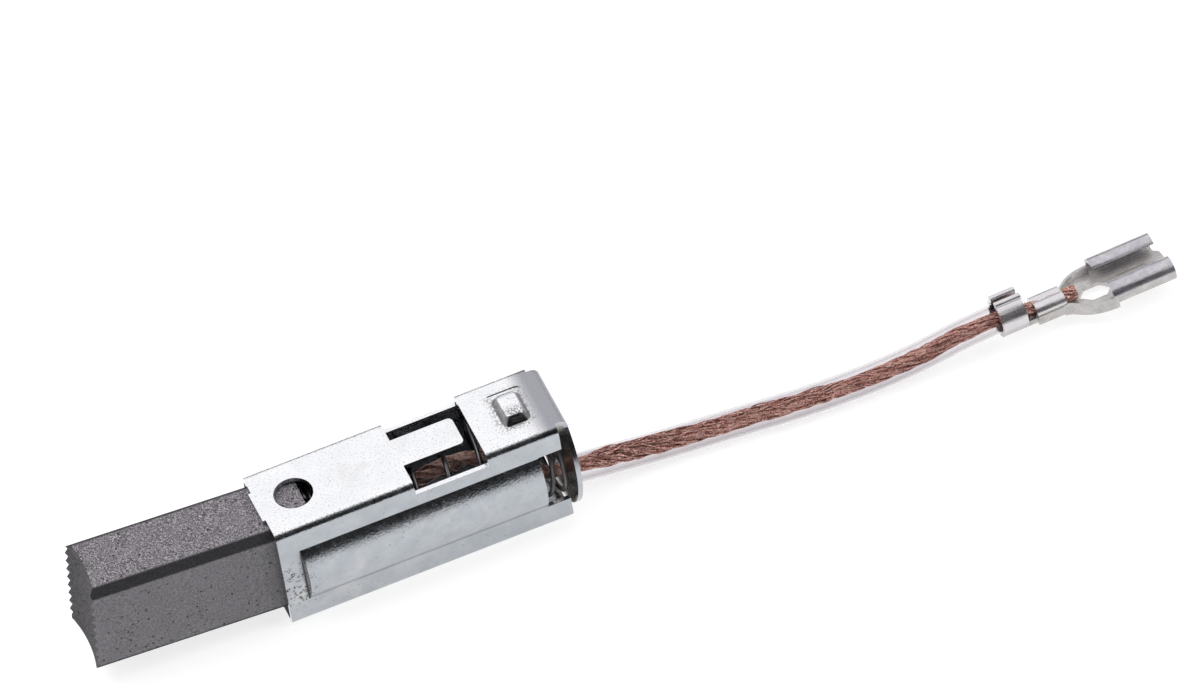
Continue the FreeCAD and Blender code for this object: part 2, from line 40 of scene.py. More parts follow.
# The photograph's view: nearly parallel, rolled, from above the cartridge's front side
VIEW_RIGHT = Vector((0.9205, -0.3703, -0.1246))
VIEW_UP = Vector((0.3555, 0.6619, 0.6599))
VIEW_BACK = Vector((-0.1619, -0.6517, 0.7410))
VIEW_TARGET = Vector((37.217, -0.148, 17.029)) * MM
VIEW_DISTANCE = 2962.0 * MM
LENS = 900.0
SENSOR = 36.0
CLIP_START, CLIP_END = 0.01, 20.0

# Floor and lights, in metres and watts
FLOOR_HALF = 2.0
FLOOR_PLACE = (0.03, 0, -0.00005)
FLOOR_GLOW = 0.75
LIGHT_AIM = Vector((0.03, 0, 0))
KEY_LIGHT = {"place": (-0.25, 0.10, 0.65), "size": 0.35, "power": 1.5}
SIDE_LIGHT = {"place": (0.5, -0.25, 0.5), "size": 0.3, "power": 1.0}
WORLD_STRENGTH = 1.12

# Cartridge, in millimetres: X from its mouth, Y across and Z up from its seam face
SHEET_TOP = 13.2
BULGE_START = 2.2
BULGE_LOW, BULGE_HIGH = 3.0, 10.2
BOSS_FRONT, BOSS_BACK = 24.6, 29.4
BOSS_HALF_WIDTH = 3.2
BOSS_TOP = 14.0
LAST_BEND = (27.6, 29.8)
END_PLATE_INSIDE = 29.9
EDGE_ANGLE = 32.0  # in degrees: sharper edges are rounded, and flatter ones shaded smooth

# Spring, in millimetres
SPRING_Z = 6.6
SPRING_RADIUS = 4.95
SPRING_WIRE_RADIUS = 0.25
SPRING_WIRE_SIDES = 12
SPRING_END_ROOM = 1.05  # from each end of the CAD spring, in wire radii
SPRING_STEPS = 40
SPRING_STEP_LENGTH = 0.76
CLOSED_PITCH = 0.55
FRONT_CLOSED_TURNS = 1
ACTIVE_TURNS = 7
REAR_CLOSED_TURNS = 1

# Carbon block, in millimetres and degrees
BLOCK_WIDTH = 7.85
BLOCK_HEIGHT = 11.25
BLOCK_CHAMFER = 0.7
BLOCK_LEAN = 2.6
BLOCK_YAW = 1.6
BLOCK_MIDDLE = Vector((0, 0.2235, 6.9692))  # a point on its middle line

# Copper ropes, in millimetres and radians
ROPE_RADIUS = 0.75
INNER_ROPE_RADIUS = 0.66
LEAD_LAY = 20.0  # rope to one turn of its wires
INNER_LAY = 10.0
LEAD_STEP = 0.45
INNER_STEP = 0.4
ROPE_WIRES = 20
ROPE_WIRE_RADIUS = 0.11
ROPE_WIRE_SIDES = 6
ROPE_CORE_SIDES = 16
WIRE_SWING, LOOSE_SWING, FINE_SWING = 0.18, 0.2, 0.08
WIRE_WAVE = 0.1
STRAY_SPREAD = (-1.7, 0.1)
STRAY_THICKNESS = 0.65  # of a wire's
STRAY_LIFT, STRAY_WAVE, STRAY_DIP = 0.26, 0.16, 0.1

# Clear sleeve and receptacle, in millimetres and degrees
SLEEVE_RADIUS = 1.6
SLEEVE_BORE = 1.35
SLEEVE_SIDES = 64
SLEEVE_STEP = 0.25
SLEEVE_EDGE_ANGLE = 50.0
FLOOR_HEIGHT = 1.62  # of the sleeve's middle line, where it lies on the floor
TERMINAL_SEAT = Vector((76.7, -3.1, 3.15))
TERMINAL_YAW = 3.3
TERMINAL_PITCH = -1.0
TERMINAL_ROLL = 15.0
SEAT_DEPTH = 2.02
NECK_TO_CRIMPS = (9.0, 7.5)  # past its seat
FLOOR_TO_CURLS = (0.9, 1.6)  # above its floor

# Lines of the sleeve and the ropes, in millimetres
FLOOR_RUN = [(41.5, -1.45, FLOOR_HEIGHT), (48.6, -2.1, FLOOR_HEIGHT), (56.4, -3.0, FLOOR_HEIGHT),
             (64.0, -3.15, FLOOR_HEIGHT), (69.3, -3.2, FLOOR_HEIGHT + 0.6)]
SLEEVE_HEAD = [(31.12, -0.8, 2.5), (35.6, -1.1, 2.15)]
ROPE_HEAD = [(30.77, -0.8, 3.0), (35.6, -1.1, 2.45)]
INNER_ROPE = [(1.298, 0.187, 6.91), (8.288, -0.008, 6.593), (14.0, 0.1, 7.6), (19.8, -0.1, 9.4),
              (24.6, -0.4, 8.2), (27.6, -0.7, 5.0), (28.87, -0.8, 3.15), (30.77, -0.8, 3.0)]

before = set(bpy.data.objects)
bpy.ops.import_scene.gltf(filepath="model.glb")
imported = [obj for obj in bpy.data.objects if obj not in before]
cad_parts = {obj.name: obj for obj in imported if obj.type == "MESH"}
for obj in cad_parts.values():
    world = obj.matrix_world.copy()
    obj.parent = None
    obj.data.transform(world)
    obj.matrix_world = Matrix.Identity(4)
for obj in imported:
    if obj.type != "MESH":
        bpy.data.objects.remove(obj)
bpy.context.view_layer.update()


def terminal_matrix():
    """From the receptacle's own frame to its place, in millimetres."""
    return (Matrix.Translation(TERMINAL_SEAT)
            @ Matrix.Rotation(math.radians(TERMINAL_YAW), 4, "Z")
            @ Matrix.Rotation(math.radians(-TERMINAL_PITCH), 4, "Y")
            @ Matrix.Rotation(math.radians(-TERMINAL_ROLL), 4, "X"))


def on_terminal(u, w):
    """A point of the receptacle's middle plane: u along it, w above its seat."""
    return terminal_matrix() @ Vector((u, 0, w))


def block_rotation():
    """How the carbon block stands in its cartridge: leaning and turned a little."""
    return (Matrix.Rotation(math.radians(-BLOCK_YAW), 3, "Z")
            @ Matrix.Rotation(math.radians(BLOCK_LEAN), 3, "Y"))


# Mesh helpers

def new_object(name, verts, faces, smooth=True, scale=MM):
    """A mesh object in the scene; the scale turns its points into metres."""
    mesh = bpy.data.meshes.new(name)
    mesh.from_pydata([Vector(v) * scale for v in verts], [], faces)
    mesh.validate()
    mesh.update()
    if smooth:
        mesh.polygons.foreach_set("use_smooth", [True] * len(mesh.polygons))
    obj = bpy.data.objects.new(name, mesh)
    bpy.context.scene.collection.objects.link(obj)
    return obj


def nurbs_line(route, resolution=14):
    """Points of the smooth line whose control points are the route's, in millimetres."""
    curve = bpy.data.curves.new("route", "CURVE")
    curve.dimensions = "3D"
    curve.resolution_u = resolution
    spline = curve.splines.new("NURBS")
    spline.points.add(len(route) - 1)
    for point, place in zip(spline.points, route):
        point.co = (*(Vector(place) * MM), 1)
    spline.order_u = 3
    spline.use_endpoint_u = True
    obj = bpy.data.objects.new("route", curve)
    mesh = bpy.data.meshes.new_from_object(obj)
    line = [v.co / MM for v in mesh.vertices]
    bpy.data.objects.remove(obj)
    bpy.data.meshes.remove(mesh)
    bpy.data.curves.remove(curve)
    return line


def resample(line, step):
    """The same line with points one step apart, its ends kept."""
    lengths = [0.0]
    for a, b in zip(line, line[1:]):
        lengths.append(lengths[-1] + (b - a).length)
    count = max(2, round(lengths[-1] / step))
    out, k = [], 0
    for i in range(count + 1):
        s = lengths[-1] * i / count
        while k < len(line) - 2 and lengths[k + 1] < s:
            k += 1
        span = max(lengths[k + 1] - lengths[k], 1e-9)
        out.append(line[k].lerp(line[k + 1], (s - lengths[k]) / span))
    return out


def frames_along(line):
    """Each point of a line with two normals, turned as little as possible along it."""
    out = []
    normal = None
    for i, point in enumerate(line):
        tangent = (line[min(i + 1, len(line) - 1)] - line[max(i - 1, 0)]).normalized()
        if normal is None:
            normal = tangent.cross(Vector((0, 1, 0))).normalized()
        normal = (normal - tangent * normal.dot(tangent)).normalized()
        out.append((point, normal, tangent.cross(normal)))
    return out


def sweep(line, radius, sides, capped=True, first=0):
    """Rings of points round a line and the faces between them, numbered from first on."""
    verts, faces = [], []
    for point, n, b in frames_along(line):
        for k in range(sides):
            angle = 2 * math.pi * k / sides
            verts.append(point + n * (radius * math.cos(angle)) + b * (radius * math.sin(angle)))
    for i in range(len(line) - 1):
        for k in range(sides):
            a, c = i * sides + k, i * sides + (k + 1) % sides
            faces.append((first + a, first + a + sides, first + c + sides, first + c))
    if capped:
        last = (len(line) - 1) * sides
        faces.append(tuple(first + k for k in range(sides)))
        faces.append(tuple(first + last + k for k in reversed(range(sides))))
    return verts, faces


def write_uv(obj, uvs):
    """A UV for each vertex: u in millimetres along a wire, v round it."""
    layer = obj.data.uv_layers.new(name="along")
    for loop in obj.data.loops:
        layer.data[loop.index].uv = uvs[loop.vertex_index]


# Material helpers

class Shader:
    """A new material's nodes, with short calls for the ones used here."""

    def __init__(self, name):
        """A plain material, with the places on the object in millimetres at hand."""
        self.material = bpy.data.materials.new(name)
        self.material.use_nodes = True
        self.nodes = self.material.node_tree.nodes
        self.links = self.material.node_tree.links
        self.bsdf = self.nodes["Principled BSDF"]
        coordinates = self.nodes.new("ShaderNodeTexCoord")
        self.millimetres = self.mapping(coordinates.outputs["Object"], (1 / MM,) * 3)
        self.uv = coordinates.outputs["UV"]

    def set(self, **values):
        """Even values on the shader's inputs, named with _ for a space."""
        for name, value in values.items():
            self.bsdf.inputs[name.replace("_", " ")].default_value = value
        return self

    def mapping(self, source, scale):
        """A source's places scaled along X, Y and Z."""
        node = self.nodes.new("ShaderNodeMapping")
        node.inputs["Scale"].default_value = scale
        self.links.new(source, node.inputs["Vector"])
        return node.outputs["Vector"]

    def noise(self, scale, detail=2.0, rough=0.5, vector=None, distortion=0.0):
        """Cloudy noise from 0 to 1; without a vector its scale is in clouds to a millimetre."""
        node = self.nodes.new("ShaderNodeTexNoise")
        node.inputs["Scale"].default_value = scale
        node.inputs["Detail"].default_value = detail
        node.inputs["Roughness"].default_value = rough
        node.inputs["Distortion"].default_value = distortion
        self.links.new(vector or self.millimetres, node.inputs["Vector"])
        return node.outputs["Fac"]

    def cells(self, scale):
        """The distance from the nearest of many scattered points."""
        node = self.nodes.new("ShaderNodeTexVoronoi")
        node.inputs["Scale"].default_value = scale
        self.links.new(self.millimetres, node.inputs["Vector"])
        return node.outputs["Distance"]

    def ramp(self, source, stops):
        """Grey values or colours at places from 0 to 1."""
        node = self.nodes.new("ShaderNodeValToRGB")
        elements = node.color_ramp.elements
        while len(elements) < len(stops):
            elements.new(0.5)
        for element, (place, colour) in zip(elements, stops):
            element.position = place
            if isinstance(colour, (int, float)):
                colour = (colour,) * 3
            element.color = (*colour, 1)
        self.links.new(source, node.inputs["Fac"])
        return node.outputs["Color"]

    def mix(self, factor, a, b):
        """Colour a where the factor is 0 and b where it is 1."""
        node = self.nodes.new("ShaderNodeMix")
        node.data_type = "RGBA"
        for socket, value in (("Factor", factor), ("A", a), ("B", b)):
            target = [i for i in node.inputs if i.name == socket and i.enabled][0]
            if isinstance(value, bpy.types.NodeSocket):
                self.links.new(value, target)
            elif socket == "Factor":
                target.default_value = value
            else:
                target.default_value = (*value, 1)
        return [o for o in node.outputs if o.enabled][0]

    def math(self, operation, a, b=0.0):
        """One sum on numbers or sources."""
        node = self.nodes.new("ShaderNodeMath")
        node.operation = operation
        for target, value in zip(node.inputs, (a, b)):
            if isinstance(value, bpy.types.NodeSocket):
                self.links.new(value, target)
            else:
                target.default_value = value
        return node.outputs[0]

    def product(self, first, *others):
        """Several shares multiplied: 1 only where each of them is 1."""
        for other in others:
            first = self.math("MULTIPLY", first, other)
        return first

    def stain(self, colour, where, strength, other):
        """A colour that turns towards another one, with some strength, where a share says so."""
        return self.mix(self.math("MULTIPLY", where, strength), colour, other)

    def between(self, value, low, high):
        """A share from 0 to 1 as the value goes from low to high."""
        node = self.nodes.new("ShaderNodeMapRange")
        node.interpolation_type = "SMOOTHSTEP"
        node.inputs["From Min"].default_value = low
        node.inputs["From Max"].default_value = high
        self.links.new(value, node.inputs["Value"])
        return node.outputs["Result"]

    def axes(self, source=None):
        """X, Y and Z of a source, or of the place in millimetres."""
        node = self.nodes.new("ShaderNodeSeparateXYZ")
        self.links.new(source or self.millimetres, node.inputs[0])
        return node.outputs["X"], node.outputs["Y"], node.outputs["Z"]

    def facing(self):
        """0 where the surface faces the eye, up to 1 where it is seen edge on."""
        node = self.nodes.new("ShaderNodeLayerWeight")
        return node.outputs["Facing"]

    def along(self, direction):
        """The place along a direction, in millimetres."""
        node = self.nodes.new("ShaderNodeVectorMath")
        node.operation = "DOT_PRODUCT"
        node.inputs[1].default_value = direction
        self.links.new(self.millimetres, node.inputs[0])
        return node.outputs["Value"]

    def normal_axes(self):
        """The way that the surface faces, along X, Y and Z."""
        node = self.nodes.new("ShaderNodeTexCoord")
        return self.axes(node.outputs["Normal"])

    def bump(self, height, distance, strength=1.0, under=None):
        """Relief of a depth in millimetres, on top of another relief if one is given."""
        node = self.nodes.new("ShaderNodeBump")
        node.inputs["Distance"].default_value = distance * MM
        node.inputs["Strength"].default_value = strength
        self.links.new(height, node.inputs["Height"])
        if under is not None:
            self.links.new(under, node.inputs["Normal"])
        return node.outputs["Normal"]

    def link(self, **sources):
        """Sources on the shader's inputs, named with _ for a space."""
        for name, source in sources.items():
            self.links.new(source, self.bsdf.inputs[name.replace("_", " ")])
        return self


# Materials

def zinc_plate():
    """Bright zinc on rolled sheet: neutral on top, with painted shade that makes the sides darker
    and bluer, painted shade on the last bend, the bulge's shoulders and the boss, and a painted
    reflection inside the end plate.
    """
    s = Shader("zinc_plate").set(Metallic=1.0)
    x, _, _ = s.axes()
    nx, ny, nz = s.normal_axes()
    mottle = s.noise(0.5, 3, 0.6)
    upper = s.ramp(mottle, [(0.3, (0.80, 0.81, 0.835)), (0.7, (0.87, 0.87, 0.895))])
    # painted shade: a darker, bluer copy of the zinc for the sides, where the surface faces across
    side_shade = s.ramp(mottle, [(0.3, (0.40, 0.425, 0.455)), (0.7, (0.465, 0.49, 0.52))])
    colour = s.mix(s.between(s.math("ABSOLUTE", ny), 0.5, 0.9), upper, side_shade)
    tint = s.between(s.noise(0.22, 2, 0.5, distortion=0.6), 0.56, 0.72)
    warm = s.ramp(s.noise(0.9, 2), [(0.35, (0.66, 0.66, 0.60)), (0.65, (0.68, 0.62, 0.66))])
    colour = s.stain(colour, tint, 0.3, warm)
    grain = s.noise(5.0, 1.5, 0.65)
    colour = s.stain(colour, s.between(grain, 0.54, 0.7), 0.5, (0.40, 0.40, 0.44))
    # painted shade: dark speckles on the sloping shoulders between the top and the sides
    shoulder = s.product(s.between(nz, 0.25, 0.5), s.between(nz, 0.99, 0.85))
    shoulder_speckle_shade = s.product(shoulder, s.between(s.noise(6.5, 1, 0.6), 0.5, 0.6))
    colour = s.stain(colour, shoulder_speckle_shade, 0.7, (0.10, 0.10, 0.11))
    # painted shade: the sheet darkened where it turns down at the last bend
    bend_shade = s.product(s.between(x, *LAST_BEND), s.between(nz, 0.2, 0.5))
    colour = s.stain(colour, bend_shade, 0.85, (0.24, 0.24, 0.275))
    colour = boss_painted_shade(s, colour, grain)
    # painted reflection: the end plate's inner face tinted olive brown, as if mirroring the copper
    # inside
    end_plate_copper_reflection = s.product(s.between(x, END_PLATE_INSIDE - 0.3, END_PLATE_INSIDE),
                       s.between(nx, -0.4, -0.8))
    colour = s.stain(colour, end_plate_copper_reflection, 0.9, (0.36, 0.30, 0.22))
    colour = s.mix(marks_and_fold_shade(s), colour, (0.05, 0.045, 0.04))
    rough = s.ramp(s.noise(1.6, 4, 0.65), [(0.3, 0.17), (0.7, 0.28)])
    rolled = s.noise(1.0, 3, 0.6, s.mapping(s.millimetres, (0.3, 3.0, 3.0)))
    relief = s.bump(rolled, 0.004)
    relief = s.bump(grain, 0.018, under=relief)
    return s.link(Base_Color=colour, Roughness=rough, Normal=relief).material


def boss_painted_shade(s, colour, grain):
    """Painted shade round the boss: darker on its flanks and on the sheet round it, and on its top
    speckled dark on the front half and grey in a band on the far side.
    """
    x, y, z = s.axes()
    _, _, nz = s.normal_axes()
    by_boss = s.product(s.between(x, BOSS_FRONT, BOSS_FRONT + 1.0),
                        s.between(x, BOSS_BACK, BOSS_BACK - 1.0),
                        s.between(s.math("ABSOLUTE", y), BOSS_HALF_WIDTH, BOSS_HALF_WIDTH - 1.0))
    # painted shade on the boss's flanks and on their upper part next to its top
    flank = s.product(by_boss, s.between(nz, 0.97, 0.75),
                      s.between(z, SHEET_TOP - 0.05, SHEET_TOP + 0.05))
    upper_flank_shade = s.product(by_boss, s.between(grain, 0.42, 0.62),
                     s.between(z, BOSS_TOP - 0.05, BOSS_TOP - 0.5))
    drawn = s.math("MAXIMUM", s.math("MULTIPLY", flank, 0.75), s.math("MULTIPLY", upper_flank_shade, 0.6))
    colour = s.mix(drawn, colour, (0.16, 0.15, 0.15))
    # painted shade on the boss's top: speckled dark on its front half and a grey band on its far
    # side
    front_half = s.product(s.between(y, 0.0, -1.1), s.between(grain, 0.36, 0.56))
    top_shade = s.math("MAXIMUM", front_half, s.math("MULTIPLY", s.between(y, 0.9, 1.4), 0.6))
    on_boss = s.product(by_boss, s.between(z, BOSS_TOP - 0.05, BOSS_TOP))
    return s.stain(colour, s.product(on_boss, top_shade), 0.85, (0.20, 0.20, 0.22))


def marks_and_fold_shade(s):
    """A share of dark: spots on the front side by the mouth and pits, and painted shade along the
    bulge's front fold.
    """
    x, y, z = s.axes()
    by_mouth = s.product(s.between(x, 4.0, 1.5), s.between(z, 1.5, 3.5), s.between(z, 9.5, 7.0))
    spots = s.between(s.noise(2.6, 4, 0.8), 0.55, 0.6)
    spots = s.product(spots, by_mouth, s.between(y, -4.2, -4.6))
    pits = s.between(s.cells(1.1), 0.1, 0.05)
    # painted shade: a dark line along the bulge's front fold
    from_fold = s.math("ABSOLUTE", s.math("SUBTRACT", x, BULGE_START))
    fold = s.product(s.between(from_fold, 0.16, 0.05),
                     s.between(z, BULGE_LOW - 0.1, BULGE_LOW + 0.1),
                     s.between(z, BULGE_HIGH + 0.1, BULGE_HIGH - 0.1))
    marks = s.math("MAXIMUM", spots, s.math("MULTIPLY", pits, 0.55))
    return s.math("MAXIMUM", marks, s.math("MULTIPLY", fold, 0.85))


def carbon():
    """Pressed carbon: ground faces with light and dark grains, a black skin on the chamfers."""
    s = Shader("carbon").set(Metallic=0.0, Specular_IOR_Level=0.35)
    nx, ny, _ = s.normal_axes()
    coarse = s.noise(4.8, 3, 0.8)
    fine = s.noise(10.0, 2, 0.7)
    grains = s.mix(0.5, *(s.ramp(noise, [(0.3, 0.0), (0.7, 1.0)]) for noise in (coarse, fine)))
    top = s.ramp(grains, [(0.28, (0.025, 0.022, 0.027)), (0.44, (0.11, 0.10, 0.115)),
                          (0.58, (0.22, 0.205, 0.225)), (0.75, (0.50, 0.47, 0.50))])
    side = s.ramp(grains, [(0.28, (0.11, 0.106, 0.115)), (0.5, (0.20, 0.193, 0.21)),
                           (0.75, (0.30, 0.29, 0.31))])
    face = s.mix(s.between(s.math("ABSOLUTE", ny), 0.5, 0.8), top, side)
    face = s.stain(face, s.between(s.noise(0.35, 3, 0.6), 0.4, 0.65), 0.2, (0.16, 0.15, 0.16))
    out_y, out_z = (s.math("ABSOLUTE", s.math("SUBTRACT", s.along(axis), axis.dot(BLOCK_MIDDLE)))
                    for axis in block_rotation().col[1:])
    chamfer_at = (BLOCK_WIDTH + BLOCK_HEIGHT) / 2 - BLOCK_CHAMFER
    outward = s.math("ADD", s.math("ADD", out_y, out_z), s.math("MULTIPLY", coarse, 0.7))
    skin = s.between(outward, chamfer_at + 0.1, chamfer_at + 0.3)
    black = s.ramp(grains, [(0.3, (0.004, 0.004, 0.005)), (0.8, (0.04, 0.037, 0.044))])
    colour = s.mix(skin, face, black)
    end = s.between(s.math("ABSOLUTE", nx), 0.35, 0.6)
    colour = s.stain(colour, end, 0.75, (0.035, 0.033, 0.037))
    pores = s.product(s.between(s.cells(1.5), 0.22, 0.14), s.between(s.noise(0.8, 2), 0.44, 0.52))
    colour = s.stain(colour, pores, 0.9, (0.008, 0.008, 0.008))
    relief = s.bump(grains, 0.05, 0.8)
    relief = s.bump(s.math("SUBTRACT", 1.0, pores), 0.08, 0.8, under=relief)
    rough = s.ramp(fine, [(0.3, 0.55), (0.7, 0.75)])
    return s.link(Base_Color=colour, Roughness=rough, Normal=relief).material


def copper(name, metallic, gap_shade, body, crest_highlight, broken_shade_share=0.8):
    """Fine bare copper wires, reddish along them, with painted shade in the gaps between them and
    painted pink highlights on their crests.
    """
    s = Shader(name).set(Metallic=metallic)
    strand = s.noise(1.0, 3, 0.6, s.mapping(s.uv, (1.6, 5.0, 1.0)))
    broken = s.noise(5.5, 3, 0.8)
    # painted shade at the low end of the strand noise, painted highlight at the high end
    colour = s.ramp(strand, [(0.36, gap_shade), (0.5, body), (0.72, crest_highlight)])
    # painted shade of the gaps, spread in patches where the strands look broken
    colour = s.stain(colour, s.between(broken, 0.47, 0.58), broken_shade_share, gap_shade)
    relief = s.bump(strand, 0.08, 0.9)
    rough = s.ramp(broken, [(0.3, 0.3), (0.7, 0.5)])
    return s.link(Base_Color=colour, Roughness=rough, Normal=relief).material


def clear_sleeve():
    """Clear soft tube, slightly cloudy and greyer where its wall is seen edge on."""
    s = Shader("clear_sleeve").set(Transmission_Weight=1.0, IOR=1.07)
    cloud = s.noise(0.7, 3, 0.6)
    edge_on = s.math("ADD", s.facing(), s.math("MULTIPLY", cloud, 0.1))
    tone = s.ramp(edge_on, [(0.08, (0.96, 0.95, 0.955)), (0.34, (0.80, 0.78, 0.80)),
                            (0.8, (0.70, 0.68, 0.70))])
    rough = s.ramp(cloud, [(0.35, 0.04), (0.7, 0.14)])
    relief = s.bump(s.noise(0.9, 2, 0.5), 0.05, 0.5)
    return s.link(Base_Color=tone, Roughness=rough, Normal=relief).material


def spring_steel():
    """Dark drawn wire."""
    s = Shader("spring_steel").set(Metallic=1.0)
    drawn = s.noise(1.0, 3, 0.6, s.mapping(s.uv, (0.5, 8.0, 1.0)))
    colour = s.ramp(drawn, [(0.35, (0.05, 0.05, 0.055)), (0.7, (0.16, 0.155, 0.16))])
    rough = s.ramp(drawn, [(0.3, 0.28), (0.7, 0.45)])
    return s.link(Base_Color=colour, Roughness=rough, Normal=s.bump(drawn, 0.01)).material


def tin_plate():
    """Satin tin on stamped brass, brass in places, with painted shade darkening the high rolled
    wings and painted light making the floor and the crimps paler.
    """
    s = Shader("tin_plate")
    forward, _, up = terminal_matrix().to_3x3().col
    past_seat = s.math("SUBTRACT", s.along(forward), forward.dot(TERMINAL_SEAT))
    above_floor = s.math("SUBTRACT", s.along(up), up.dot(TERMINAL_SEAT) - SEAT_DEPTH)
    brushed = s.noise(1.0, 2, 0.5, s.mapping(s.millimetres, (0.3, 3.0, 3.0)))
    cloud = s.noise(1.1, 3, 0.6)
    # painted shade: a darker copy of the tin for the high rolled wings
    rolls_shaded_crimps_lit = s.ramp(cloud, [(0.3, (0.42, 0.405, 0.445)), (0.55, (0.50, 0.485, 0.525)),
                           (0.75, (0.60, 0.585, 0.625))])
    # painted light: a paler copy of the tin for the floor between the wings
    floor = s.ramp(cloud, [(0.3, (0.46, 0.445, 0.44)), (0.7, (0.62, 0.60, 0.59))])
    # painted light: the crimps made paler than the wings
    rolls_shaded_crimps_lit = s.mix(s.between(past_seat, *NECK_TO_CRIMPS), rolls_shaded_crimps_lit, (0.65, 0.63, 0.66))
    on_curls = s.between(above_floor, *FLOOR_TO_CURLS)
    colour = s.mix(on_curls, floor, rolls_shaded_crimps_lit)
    metal = s.ramp(on_curls, [(0.0, 0.45), (1.0, 0.9)])
    brass = s.between(s.noise(0.8, 3, 0.7), 0.54, 0.68)
    colour = s.stain(colour, brass, 0.28, (0.58, 0.51, 0.42))
    rough = s.ramp(brushed, [(0.3, 0.2), (0.7, 0.34)])
    return s.link(Base_Color=colour, Metallic=metal, Roughness=rough,
                  Normal=s.bump(brushed, 0.005)).material


def tamped_copper():
    """Copper powder pressed in round the rope."""
    s = Shader("tamped_copper").set(Metallic=0.9)
    powder = s.noise(6.0, 4, 0.8)
    colour = s.ramp(powder, [(0.35, (0.20, 0.08, 0.05)), (0.65, (0.55, 0.28, 0.19))])
    return s.link(Base_Color=colour, Roughness=s.ramp(powder, [(0.3, 0.5), (0.7, 0.8)]),
                  Normal=s.bump(powder, 0.06)).material


def pale_floor():
    """A plain floor that glows a little, so that it comes out white."""
    s = Shader("pale_floor").set(Roughness=0.9, Specular_IOR_Level=0.2, Emission_Color=(1, 1, 1, 1),
                                 Emission_Strength=FLOOR_GLOW)
    colour = s.ramp(s.noise(0.02, 2), [(0.3, 0.34), (0.7, 0.37)])
    return s.link(Base_Color=colour).material


# Pieces

def dress(node, material, bevel=0.0):
    """A CAD node keeps its shape and gets its material, smooth bends and small edge rounds."""
    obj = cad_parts[node]
    obj.data.materials.clear()
    obj.data.materials.append(material)
    if bevel:
        modifier = obj.modifiers.new("edges", "BEVEL")
        modifier.width = bevel * MM
        modifier.segments = 2
        modifier.limit_method = "ANGLE"
        modifier.angle_limit = math.radians(EDGE_ANGLE)
        modifier.harden_normals = True
    obj.data.polygons.foreach_set("use_smooth", [True] * len(obj.data.polygons))
    obj.data.set_sharp_from_angle(angle=math.radians(EDGE_ANGLE))


def spring_piece(material):
    """The coil spring with round wire, a smooth helix from end to end."""
    low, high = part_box("spring")
    start = low.x / MM + SPRING_WIRE_RADIUS * SPRING_END_ROOM
    end = high.x / MM - SPRING_WIRE_RADIUS * SPRING_END_ROOM
    closed = (FRONT_CLOSED_TURNS + REAR_CLOSED_TURNS) * CLOSED_PITCH
    pitches = [CLOSED_PITCH] * FRONT_CLOSED_TURNS
    pitches += [(end - start - closed) / ACTIVE_TURNS] * ACTIVE_TURNS
    pitches += [CLOSED_PITCH] * REAR_CLOSED_TURNS
    line, x = [], start
    for pitch in pitches:
        for k in range(SPRING_STEPS):
            angle = 2 * math.pi * k / SPRING_STEPS
            line.append(Vector((x, SPRING_RADIUS * math.sin(angle),
                                SPRING_Z + SPRING_RADIUS * math.cos(angle))))
            x += pitch / SPRING_STEPS
    line.append(Vector((x, 0, SPRING_Z + SPRING_RADIUS)))
    verts, faces = sweep(line, SPRING_WIRE_RADIUS, SPRING_WIRE_SIDES)
    obj = new_object("coil_spring", verts, faces)
    length = len(line) * SPRING_STEP_LENGTH
    write_uv(obj, [(i // SPRING_WIRE_SIDES / (len(line) - 1) * length,
                    i % SPRING_WIRE_SIDES / SPRING_WIRE_SIDES) for i in range(len(verts))])
    obj.data.materials.append(material)
    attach(obj, "cartridge")
    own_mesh(obj)
    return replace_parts(obj, "spring")


def smooth_step(value):
    """From 0 to 1 with a soft start and end, held outside."""
    value = min(max(value, 0.0), 1.0)
    return value * value * (3 - 2 * value)


def sleeve_swell(share):
    """How freely the wires lie along the sleeve: not at all near its two ends."""
    return smooth_step((share - 0.03) / 0.07) * smooth_step((0.84 - share) / 0.08)


def sleeve_slack(share):
    """How far the wires stand out in the sleeve: most by the end plate and least halfway."""
    return (0.1 - 0.17 * smooth_step((share - 0.12) / 0.2)
            + 0.11 * smooth_step((share - 0.5) / 0.2))


def inner_swell(share):
    """How freely the wires lie inside the spring: not at all where the block holds them."""
    return 2.2 * smooth_step((share - 0.17) / 0.12) * smooth_step((1 - share) / 0.25)


def inner_slack(_):
    """How far the wires stand out inside the spring: the same all along."""
    return 0.03


def wire_path(stations, along, radius, lay, swell, slack, start, twist, phase, wander):
    """One wire's line round a rope; without twist it is a stray one that lies loose above it."""
    path = []
    for (point, n, b), s in zip(stations, along):
        share = s / along[-1]
        opened = swell(share)
        angle = start + twist * 2 * math.pi * s / lay
        angle += (WIRE_SWING + LOOSE_SWING * opened) * math.sin(s * wander + phase)
        angle += FINE_SWING * math.sin(3.1 * s * wander + 3 * phase)
        reach = radius - ROPE_WIRE_RADIUS
        reach += opened * (slack(share) + WIRE_WAVE * math.sin(1.3 * s * wander + 2 * phase))
        if not twist:
            loose = opened * smooth_step((0.65 - share) / 0.2)
            lift = STRAY_LIFT + STRAY_WAVE * math.sin(0.7 * s + phase)
            reach += loose * lift - STRAY_DIP * (1 - loose)
        path.append(point + n * (reach * math.cos(angle)) + b * (reach * math.sin(angle)))
    return path


